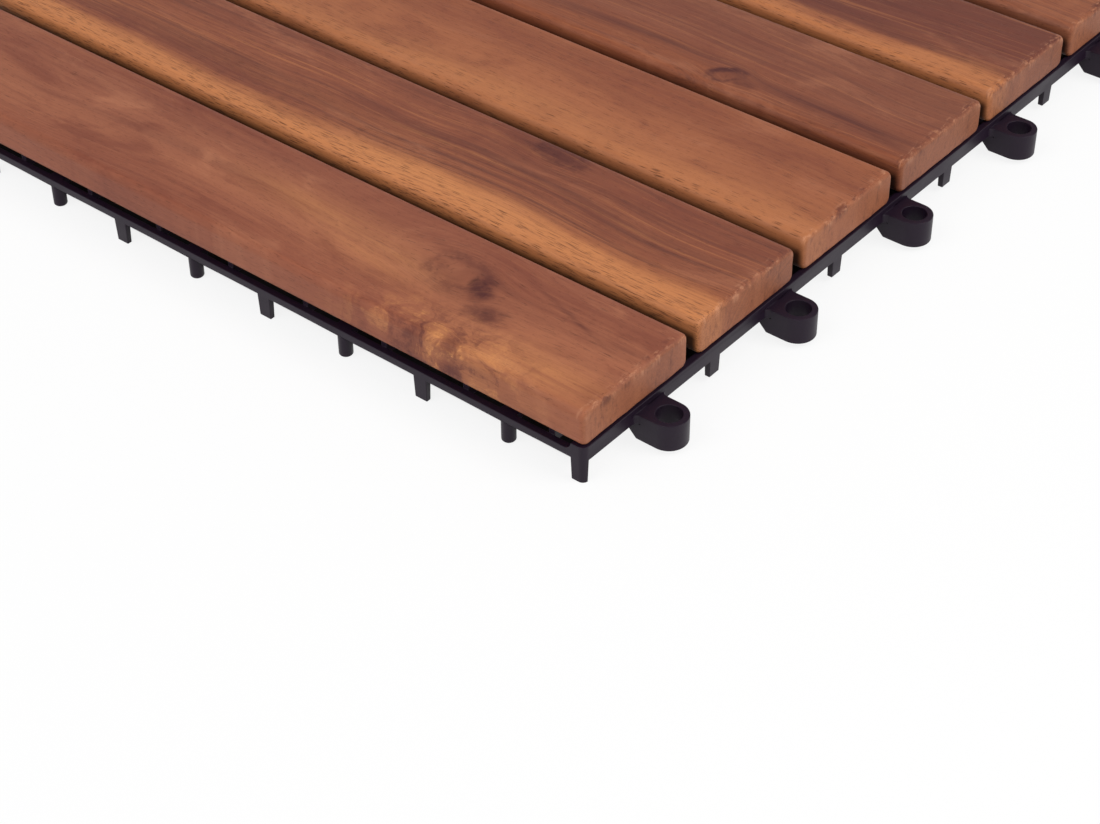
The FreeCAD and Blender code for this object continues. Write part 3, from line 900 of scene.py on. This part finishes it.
@dataclass
class SlatRow:
    """Six hardwood slats with rounded edges and eased, lightly worn ends."""

    length: float = 294.6
    width: float = 45.2
    bottom: float = 12.2
    top: float = 23.8
    pitch: float = 50.0
    count: int = 6
    edge_round: float = 2.5
    end_round: float = 1.5
    round_steps: int = 6
    middle_steps: int = 30
    outline_step: float = 0.6
    corner_points: int = 10
    wear_scale: Triple = (25.0, 220.0, 260.0)
    wear_least: float = 0.55
    wear_range: float = 0.8
    wear_seed_step: float = 0.37
    finishes: list[Hardwood] = field(default_factory=list)

    def tree(self) -> GeometryGraph:
        """Tree that sweeps a rounded outline along one slat and eases its ends.

        Returns:
            The tree, with inputs for the slat's sizes and place.
        """
        graph = GeometryGraph("rounded_slat")
        length, width, thickness = graph.numbers("Length", "Width", "Thickness")
        centre_y, middle_z, seed = graph.numbers("Centre Y", "Centre Z", "Wear Seed")
        edge, ease, step = graph.numbers("Edge Round", "End Round", "Outline Step")
        steps, spans = graph.numbers("Round Steps", "Middle Steps", whole=True)

        last = steps * 2.0 + spans
        ends = {"Start": (-1.0, 0.0, 0.0), "End": (1.0, 0.0, 0.0)}
        line = graph.made("CurvePrimitiveLine", ends)
        points = graph.made("ResampleCurve", {"Curve": line, "Count": last + 1.0})
        index = graph.made("InputIndex")
        from_end = graph.math("MINIMUM", index, last - index)
        turn = from_end / steps * (math.pi / 2.0)
        flat_from = length * 0.5 - ease
        rounded = flat_from + ease * graph.math("COSINE", turn)
        gone = (from_end - steps) / (spans * 0.5)
        straight = flat_from * (1.0 - gone)
        in_middle = graph.math("GREATER_THAN", from_end, steps)
        reach = rounded * (1.0 - in_middle) + straight * in_middle
        side = graph.math("SIGN", index - last * 0.5)
        placed = {"Geometry": points, "Position": graph.vector(reach * side)}
        path = graph.made("SetPosition", placed)

        box = graph.made("CurvePrimitiveQuadrilateral", {"Width": width, "Height": thickness})
        rounding = {"Curve": box, "Radius": edge, "Count": self.corner_points}
        outline = graph.made("FilletCurve", rounding, mode="POLY")
        outline = graph.made("ResampleCurve", {"Curve": outline, "Length": step}, mode="LENGTH")
        swept = {"Curve": path, "Profile Curve": outline, "Fill Caps": True}
        board = graph.made("CurveToMesh", swept)

        x, y, z = graph.split(graph.made("InputPosition"))
        off_y = y - self.held(graph, y, width * 0.5 - edge)
        off_z = z - self.held(graph, z, thickness * 0.5 - edge)
        off = graph.vector(0.0, off_y, off_z)
        outward = graph.out("ShaderNodeVectorMath", {0: off}, operation="NORMALIZE")
        beyond = graph.math("ABSOLUTE", x) - flat_from
        share = graph.math("MINIMUM", graph.math("MAXIMUM", beyond, 0.0) / ease, 1.0)
        rest = graph.math("MAXIMUM", 1.0 - share * share, 0.0)
        inset = ease * (1.0 - graph.math("SQRT", rest))
        places = zip((x, y + seed, z), self.wear_scale)
        worn_at = graph.vector(*[place * scale for place, scale in places])
        worn = graph.out("ShaderNodeTexNoise", {"Vector": worn_at, "Scale": 1.0, "Detail": 2.0})
        inset = inset * (self.wear_least + worn * self.wear_range)
        inward = {0: outward, "Scale": inset * -1.0}
        shift = graph.out("ShaderNodeVectorMath", inward, operation="SCALE")
        eased = graph.made("SetPosition", {"Geometry": board, "Offset": shift})
        place = {"Geometry": eased, "Translation": graph.vector(0.0, centre_y, middle_z)}
        placed = graph.made("Transform", place)
        graph.close(placed, bpy.data.materials.new("bare_wood"))
        return graph

    @staticmethod
    def held(graph: GeometryGraph, value: Value, limit: Value) -> Value:
        """A value held between minus and plus a limit."""
        low = graph.math("MAXIMUM", value, limit * -1.0)
        return graph.math("MINIMUM", low, limit)

    def centre(self, index: int) -> float:
        """Middle of a slat across the tile, counted from 0 at the near side."""
        return (index - (self.count - 1) / 2.0) * self.pitch

    def build(self) -> list[bpy.types.Object]:
        """Make the slats and put each in the place of its CAD node.

        Returns:
            The finished pieces.
        """
        graph = self.tree()
        pieces = []
        for index in range(self.count):
            centre_y = self.centre(index)
            values = {
                "Length": self.length * MM,
                "Width": self.width * MM,
                "Thickness": (self.top - self.bottom) * MM,
                "Centre Y": centre_y * MM,
                "Centre Z": (self.top + self.bottom) / 2.0 * MM,
                "Edge Round": self.edge_round * MM,
                "End Round": self.end_round * MM,
                "Outline Step": self.outline_step * MM,
                "Round Steps": self.round_steps,
                "Middle Steps": self.middle_steps,
                "Wear Seed": self.wear_seed_step * index,
            }
            number = index + 1
            piece = graph.grow(f"slat_board_{number}", values)
            soften(piece.data)
            finish = self.finishes[index]
            wood = finish.material(f"oiled_hardwood_{number}", centre_y, self)
            enter(piece, wood, Slot.SLATS, f"slat_{number}")
            pieces.append(piece)
        return pieces


@dataclass
class MouldedBase:
    """The one-piece base: the CAD solid with its edges eased as a mould leaves them."""

    finish: MouldedPlastic = MouldedPlastic()
    node: str = "base_grid"
    edge_ease: float = 0.22
    ease_steps: int = 2
    sharp_from: float = 32.0
    merge_within: float = 0.002
    stray_from: float = 0.12

    def eased(self, source: bpy.types.Mesh) -> bpy.types.Mesh:
        """Copy of the solid's mesh with joined corners and eased edges.

        Args:
            source: The CAD node's mesh, which stays as it is.

        Returns:
            The new mesh, inside the old one's bounds.
        """
        shape = bmesh.new()
        shape.from_mesh(source)
        bmesh.ops.remove_doubles(shape, verts=shape.verts, dist=self.merge_within * MM)
        low = [min(vertex.co[axis] for vertex in shape.verts) for axis in range(3)]
        high = [max(vertex.co[axis] for vertex in shape.verts) for axis in range(3)]
        skin = BVHTree.FromBMesh(shape)
        limit = math.radians(self.sharp_from)
        sharp = [edge for edge in shape.edges if edge.calc_face_angle(0.0) > limit]
        eased = bmesh.ops.bevel(
            shape,
            geom=sharp,
            offset=self.edge_ease * MM,
            offset_type="OFFSET",
            segments=self.ease_steps,
            profile=0.5,
            affect="EDGES",
            clamp_overlap=False,
        )
        stray = 0
        for vertex in shape.verts:
            near, _, _, off = skin.find_nearest(vertex.co)
            if off > self.stray_from * MM:
                vertex.co = near
                stray += 1
            bounds = zip(vertex.co, low, high)
            vertex.co = [min(max(place, least), most) for place, least, most in bounds]
        shape.normal_update()
        folded = [face for face in shape.faces if self.is_folded(face, skin)]
        bmesh.ops.reverse_faces(shape, faces=folded)
        LOG.info("eased base: %d corners drawn back, %d slivers turned", stray, len(folded))
        normals = self.flat_normals(shape, set(eased["faces"]) | set(folded))
        mesh = bpy.data.meshes.new("base_moulding")
        shape.to_mesh(mesh)
        shape.free()
        mesh.shade_smooth()
        mesh.normals_split_custom_set_from_vertices(normals)
        return mesh

    @staticmethod
    def is_folded(face: bmesh.types.BMFace, skin: BVHTree) -> bool:
        """Whether a face looks away from the side of the solid that it lies on."""
        _, outward, _, _ = skin.find_nearest(face.calc_center_median())
        return face.normal.dot(outward) < 0.0

    @staticmethod
    def flat_normals(shape: bmesh.types.BMesh, strips: set[bmesh.types.BMFace]) -> list[Vector]:
        """Normals that leave the solid's own faces flat and turn over the eased edges only.

        Args:
            shape: The eased shape.
            strips: The faces of its eased edges.

        Returns:
            One normal for each corner of the shape.
        """
        shape.normal_update()
        normals = []
        for vertex in shape.verts:
            own = [loop for loop in vertex.link_loops if loop.face not in strips]
            parts = [loop.face.normal * loop.calc_angle() for loop in own or vertex.link_loops]
            normals.append(sum(parts, Vector()).normalized())
        return normals

    def build(self) -> bpy.types.Object:
        """Make the eased base in place of its CAD node.

        Returns:
            The finished piece.
        """
        plastic = self.finish.material("black_moulded_plastic")
        piece = add_object("base_moulding", self.eased(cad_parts[self.node].data))
        enter(piece, plastic, Slot.BASE, self.node)
        return piece


@dataclass
class ScrewSet:
    """Pan-head wood screws with cross recesses and threads, four under each slat."""

    finish: Zinc = Zinc()
    rows: int = 6
    columns: int = 4
    row_pitch: float = 50.0
    column_pitch: float = 90.0
    seat_z: float = 9.4
    head_radius: float = 3.3
    head_height: float = 1.8
    head_soft: float = 0.75
    dome_turns: tuple[float, ...] = (0.0, 0.45, 0.8, 1.1, 1.35, math.pi / 2.0)
    head_bevel: float = 0.12
    neck: float = 0.5
    shank_radius: float = 1.3
    length: float = 12.0
    point: float = 3.4
    point_middle: float = 1.3
    point_narrow: float = 0.55
    tip_radius: float = 0.05
    sides: int = 28
    thread_radius: float = 1.75
    thread_pitch: float = 1.4
    thread_from: float = 1.4
    thread_short: float = 2.0
    thread_height: float = 0.3
    thread_sunk: float = 0.86
    thread_narrow_from: float = 0.72
    thread_narrow_to: float = 0.42
    thread_steps: int = 14
    recess: float = 1.9
    recess_width: float = 0.8
    recess_depth: float = 1.1
    smooth_below: float = 35.0

    def outline(self) -> list[tuple[float, float]]:
        """Outline of the screw.

        Returns:
            Radius and height of its rings, from the drive face to the tip.
        """
        head, tall, soft = self.head_radius, self.head_height, self.head_soft
        shank, bevel = self.shank_radius, self.head_bevel
        dome = [(math.sin(turn), math.cos(turn)) for turn in self.dome_turns]
        rings = [(0.02, -tall), (head * 0.5, -tall)]
        rings += [(head - soft + soft * out, -tall + soft * (1.0 - up)) for out, up in dome]
        rings += [(head, -bevel), (head - bevel, 0.0), (self.thread_radius, 0.0)]
        rings += [(shank, self.neck), (shank, self.length - self.point)]
        rings += [(shank * self.point_narrow, self.length - self.point_middle)]
        return rings + [(self.tip_radius, self.length)]

    def tree(self) -> GeometryGraph:
        """Tree that turns one screw, cuts its recess, winds its thread and sets out a row.

        Returns:
            The tree, with inputs for the row's place and the screw's main sizes.
        """
        graph = GeometryGraph("pan_head_screws")
        row_y, seat, pitch = graph.numbers("Row Y", "Seat Z", "Pitch")
        wind, thread = graph.numbers("Thread Pitch", "Thread Radius")
        wide, long, deep = graph.numbers("Recess Width", "Recess Reach", "Recess Depth")
        count, sides, seed = graph.numbers("Count", "Sides", "Turn Seed", whole=True)

        rings = self.outline()
        index = graph.made("InputIndex")
        radius = self.listed(graph, index, [ring[0] * MM for ring in rings])
        height = self.listed(graph, index, [ring[1] * MM for ring in rings])
        line = graph.made("CurvePrimitiveLine")
        path = graph.made("ResampleCurve", {"Curve": line, "Count": len(rings)})
        placed = {"Geometry": path, "Position": graph.vector(0.0, 0.0, height)}
        path = graph.made("SetPosition", placed)
        circle = graph.made("CurvePrimitiveCircle", {"Resolution": sides, "Radius": 1.0})
        swept = {"Curve": path, "Profile Curve": circle, "Scale": radius, "Fill Caps": True}
        body = graph.made("CurveToMesh", swept)

        depth = deep * 2.0
        arms = []
        for size in (graph.vector(long, wide, depth), graph.vector(wide, long, depth)):
            arm = graph.made("MeshCube", {"Size": size})
            lowered = {"Geometry": arm, "Translation": (0.0, 0.0, -self.head_height * MM)}
            arms.append(graph.made("Transform", lowered))
        how = {"operation": "DIFFERENCE", "solver": "EXACT"}
        cut = graph.add("GeometryNodeMeshBoolean", {"Mesh 1": body}, **how)
        for arm in arms:
            graph.feed(cut.inputs["Mesh 2"], arm)

        run = (self.length - self.point * 0.45 - self.thread_short) * MM
        turns = graph.math("DIVIDE", run, wind)
        winding = {"Resolution": self.thread_steps, "Rotations": turns, "Height": run}
        winding |= {"Start Radius": thread, "End Radius": thread}
        helix = graph.made("CurveSpiral", winding)
        share = graph.made("SplineParameter")
        narrow = graph.span(share, self.thread_narrow_from, 1.0, 1.0, self.thread_narrow_to)
        x, y, z = graph.split(graph.made("InputPosition"))
        drawn = [part * narrow * self.thread_sunk for part in (x, y)]
        moved = {"Geometry": helix, "Position": graph.vector(*drawn, z)}
        helix = graph.made("SetPosition", moved)
        section = {"Resolution": 3, "Radius": self.thread_height * MM}
        ridge = graph.made("CurvePrimitiveCircle", section)
        wound = graph.made("CurveToMesh", {"Curve": helix, "Profile Curve": ridge})
        lifted = {"Geometry": wound, "Translation": (0.0, 0.0, self.thread_from * MM)}
        wound = graph.made("Transform", lifted)

        whole = graph.add("GeometryNodeJoinGeometry")
        for piece in (cut.outputs["Mesh"], wound):
            graph.feed(whole.inputs[0], piece)

        half_run = pitch * (count - 1.0) * 0.5
        start = graph.vector(half_run * -1.0, row_y, seat)
        row = {"Count": count, "Start Location": start, "Offset": graph.vector(pitch)}
        spots = graph.made("MeshLine", row)
        turned = graph.add("FunctionNodeRandomValue", {"Seed": seed}, data_type="FLOAT")
        turned.inputs[2].default_value, turned.inputs[3].default_value = 0.0, math.pi / 2.0
        spin = graph.vector(0.0, 0.0, turned.outputs[1])
        set_out = {"Points": spots, "Instance": whole.outputs[0], "Rotation": spin}
        screws = graph.made("InstanceOnPoints", set_out)
        graph.close(screws, self.finish.material("zinc_plating"))
        return graph

    @staticmethod
    def listed(graph: GeometryGraph, index: Value, values: list[float]) -> Value:
        """Value of a list at an index.

        Args:
            graph: The tree.
            index: The index.
            values: The list.

        Returns:
            The value.
        """
        node = graph.add("GeometryNodeIndexSwitch", data_type="FLOAT")
        while len(node.index_switch_items) < len(values):
            node.index_switch_items.new()
        graph.feed(node.inputs["Index"], index)
        for place, value in enumerate(values):
            node.inputs[place + 1].default_value = value
        return Value(graph, node.outputs[0])

    def build(self) -> list[bpy.types.Object]:
        """Make one row of screws for each slat in place of its CAD nodes.

        Returns:
            The finished pieces.
        """
        graph = self.tree()
        zinc = bpy.data.materials["zinc_plating"]
        pieces = []
        for row in range(self.rows):
            values = {
                "Row Y": (row - (self.rows - 1) / 2.0) * self.row_pitch * MM,
                "Seat Z": self.seat_z * MM,
                "Count": self.columns,
                "Pitch": self.column_pitch * MM,
                "Sides": self.sides,
                "Turn Seed": row,
                "Thread Pitch": self.thread_pitch * MM,
                "Thread Radius": self.thread_radius * MM,
                "Recess Width": self.recess_width * MM,
                "Recess Reach": 2.0 * self.recess * MM,
                "Recess Depth": self.recess_depth * MM,
            }
            piece = graph.grow(f"screws_under_slat_{row + 1}", values)
            smooth(piece.data, self.smooth_below)
            nodes = [f"screw_{row + 1}_{column + 1}" for column in range(self.columns)]
            enter(piece, zinc, Slot.SCREWS, *nodes)
            pieces.append(piece)
        return pieces


@dataclass(frozen=True)
class Lamp:
    """A square softbox, in metres and watts."""

    name: str
    place: Triple
    size: float
    power: float
    tint: Colour


@dataclass
class Studio:
    """White floor, soft lamps, and the camera at the photograph's place."""

    azimuth: float = 39.839
    elevation: float = 39.314
    roll: float = -0.691
    distance: float = 613.543
    target: Triple = (136.884, -148.41, 20.0)
    lens: float = 77.31
    sensor_width: float = 36.0
    near_clip: float = 0.01
    lamps_aim: Triple = (0.05, -0.05, 0.0)
    key: Lamp = Lamp("key", (1.2, 0.3, 1.3), 0.9, 17.5, (1.0, 0.99, 0.97))
    fill: Lamp = Lamp("fill", (-0.15, -1.3, 1.25), 1.3, 15.0, (0.98, 0.985, 1.0))
    floor_reach: float = 7.0
    backdrop_height: float = 2.6
    backdrop_sides: int = 72
    world_level: float = 0.42

    def place_camera(self) -> None:
        """Add the camera and make it the scene's own."""
        a, e, r = map(math.radians, (self.azimuth, self.elevation, self.roll))
        back = Vector((math.sin(a) * math.cos(e), -math.cos(a) * math.cos(e), math.sin(e)))
        right = Vector((math.cos(a), math.sin(a), 0.0))
        up = back.cross(right)
        turned_right = right * math.cos(r) + up * math.sin(r)
        turned_up = up * math.cos(r) - right * math.sin(r)
        data = bpy.data.cameras.new("camera")
        data.lens = self.lens
        data.sensor_width = self.sensor_width
        data.clip_start = self.near_clip
        camera = add_object("camera", data)
        turn = Matrix((turned_right, turned_up, back)).transposed()
        place = Vector(self.target) * MM + back * self.distance * MM
        camera.matrix_world = Matrix.Translation(place) @ turn.to_4x4()
        bpy.context.scene.camera = camera

    def add_lamp(self, lamp: Lamp) -> None:
        """Add one lamp that faces the tile.

        Args:
            lamp: What and where it is.
        """
        data = bpy.data.lights.new(lamp.name, "AREA")
        data.shape = "SQUARE"
        data.size = lamp.size
        data.energy = lamp.power
        data.color = lamp.tint
        item = add_object(lamp.name, data)
        item.location = lamp.place
        back = Vector(lamp.place) - Vector(self.lamps_aim)
        item.rotation_euler = back.to_track_quat("Z", "Y").to_euler()

    def add_floor(self) -> None:
        """Lay a round floor with a wall around it."""
        sides, reach = self.backdrop_sides, self.floor_reach
        turns = [2.0 * math.pi * i / sides for i in range(sides)]
        ring = [(math.cos(turn), math.sin(turn)) for turn in turns]
        heights = (0.0, self.backdrop_height)
        corners = [(reach * x, reach * y, height) for height in heights for x, y in ring]
        wall = [((i + 1) % sides, i, sides + i, sides + (i + 1) % sides) for i in range(sides)]
        mesh = bpy.data.meshes.new("floor")
        mesh.from_pydata(corners, [], [tuple(range(sides))] + wall)
        floor = add_object("floor", mesh)
        floor.data.materials.append(PaleFloor().material("white_floor"))

    def build(self) -> None:
        """Lay the floor and set up light and camera."""
        self.add_floor()
        world = bpy.data.worlds.new("studio")
        world.use_nodes = True
        graph = Graph(world.node_tree)
        light = {"Color": (1.0, 1.0, 1.0), "Strength": self.world_level}
        sky = graph.out("ShaderNodeBackground", light)
        graph.add("ShaderNodeOutputWorld", {"Surface": sky})
        bpy.context.scene.world = world

        self.add_lamp(self.key)
        self.add_lamp(self.fill)
        self.place_camera()
        bpy.context.scene.view_settings.view_transform = "Standard"


FINISHES = [
    Hardwood(
        seed=1.3,
        far=(138, 80, 60),
        middle=(160, 98, 71),
        near=(150, 88, 64),
        stripes=0.3,
        lines=0.2,
        fibres=0.16,
        mottle=0.62,
        pores=0.35,
        figure=0.9,
        figure_at=97.0,
        knots=(
            Knot(82, 4.5, 9, 6.4, ring=0.5),
            Knot(91.6, 2.2, 6, 4, swell=0.3, heart=0.95, tilt=-55),
            Knot(99.5, -6, 7.4, 4.2, swell=0.3, heart=0.75, tilt=12.0),
        ),
        streaks=(
            Streak(88, 2, 24, 9, 0.42, tone=Tone.RED),
            Streak(112, 12, 60, 9, 0.5, slope=-0.06, tone=Tone.RED),
            Streak(84, 9, 16, 1.6, 0.4, slope=-0.2),
            Streak(120, 7.6, 15, 0.9, 0.55, slope=-0.32),
            Streak(138, 5.2, 9, 0.9, 0.4, slope=0.08),
            Streak(124, -15, 26, 7, 0.55, tone=Tone.GOLDEN),
            Streak(110, -21, 7, 3.8, 0.6, tone=Tone.GOLDEN),
            Streak(94.8, -20.5, 2.8, 3.2, 0.7, tone=Tone.GOLDEN),
            Streak(89, -21.5, 4, 3.4, 0.55),
            Streak(100.8, -22.5, 3.4, 3.2, 0.8),
            Streak(-60, 17, 70, 8, 0.6, tone=Tone.RED),
            Streak(60, -4, 20, 7, 0.35, tone=Tone.GOLDEN),
            Streak(-10, -17, 70, 8, 0.6, tone=Tone.RED),
            Streak(30, 3, 30, 6, 0.35, tone=Tone.GOLDEN),
        ),
    ),
    Hardwood(
        seed=4.7,
        far=(128, 72, 53),
        middle=(142, 82, 58),
        near=(174, 108, 68),
        stripes=0.62,
        lines=0.75,
        fibres=0.4,
        mottle=0.42,
        golden_edge=0.9,
        pores=0.6,
        knots=(Knot(66, 18, 8, 4.5, swell=0.7, ring=0.6, heart=0.6),),
        streaks=(
            Streak(62, 17.5, 15, 4, 0.7),
            Streak(90, 10, 45, 3, 0.4),
            Streak(-55, -6, 45, 5, 0.45),
            Streak(-52, -9, 58, 4.5, 0.6, tone=Tone.RED),
            Streak(46, -15, 34, 5, 0.5, tone=Tone.GOLDEN),
            Streak(40, 2, 60, 4, 0.4, slope=0.02),
            Streak(108, -3, 50, 5, 0.3),
        ),
    ),
    Hardwood(
        seed=8.2,
        far=(148, 86, 58),
        middle=(161, 97, 65),
        near=(163, 100, 66),
        stripes=0.25,
        lines=0.15,
        fibres=0.15,
        mottle=0.4,
        golden_edge=0.35,
        pores=0.6,
        streaks=(
            Streak(70, 12, 80, 7, 0.5, tone=Tone.RED),
            Streak(-40, 8, 60, 6, 0.4, tone=Tone.RED),
            Streak(40, -12, 60, 5, 0.2, tone=Tone.GOLDEN),
            Streak(125, 2, 30, 12, 0.3, tone=Tone.RED),
        ),
    ),
    Hardwood(
        seed=12.9,
        far=(126, 74, 55),
        middle=(132, 77, 57),
        near=(138, 77, 51),
        stripes=0.5,
        lines=0.55,
        mottle=0.4,
        pores=0.35,
        knots=(
            Knot(77.6, -14.8, 5, 3.4, swell=0.85, ring=0.7, heart=0.25, tilt=39.0),
            Knot(75.7, -12.4, 5.2, 1.7, swell=0.0, heart=0.95, tilt=39.0),
            Knot(84.5, -16.4, 5.5, 2.2, swell=0.0, heart=0.55, tilt=10.0),
        ),
        streaks=(
            Streak(112, -13, 34, 2.4, 0.65),
            Streak(132, -15, 14, 2, 0.5, slope=-0.15),
            Streak(30, -11, 50, 2.2, 0.5, slope=0.08),
        ),
    ),
    Hardwood(
        seed=17.4,
        far=(104, 55, 43),
        middle=(110, 59, 47),
        near=(154, 89, 58),
        stripes=0.6,
        lines=0.5,
        golden_edge=0.6,
        pores=0.4,
        streaks=(Streak(95, -10, 60, 3, 0.45), Streak(60, 4, 70, 3, 0.35)),
    ),
    Hardwood(
        seed=23.6,
        far=(144, 84, 58),
        middle=(150, 90, 62),
        near=(144, 84, 58),
        stripes=0.4,
        lines=0.4,
        pores=0.4,
        streaks=(Streak(-20, 6, 80, 4, 0.3),),
    ),
]


def main() -> None:
    """Build the tile's looks and the studio around it."""
    logging.basicConfig(level=logging.INFO, format="%(name)s: %(message)s")
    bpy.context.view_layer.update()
    SlatRow(finishes=FINISHES).build()
    MouldedBase().build()
    ScrewSet().build()
    Studio().build()


if __name__ == "__main__":
    main()
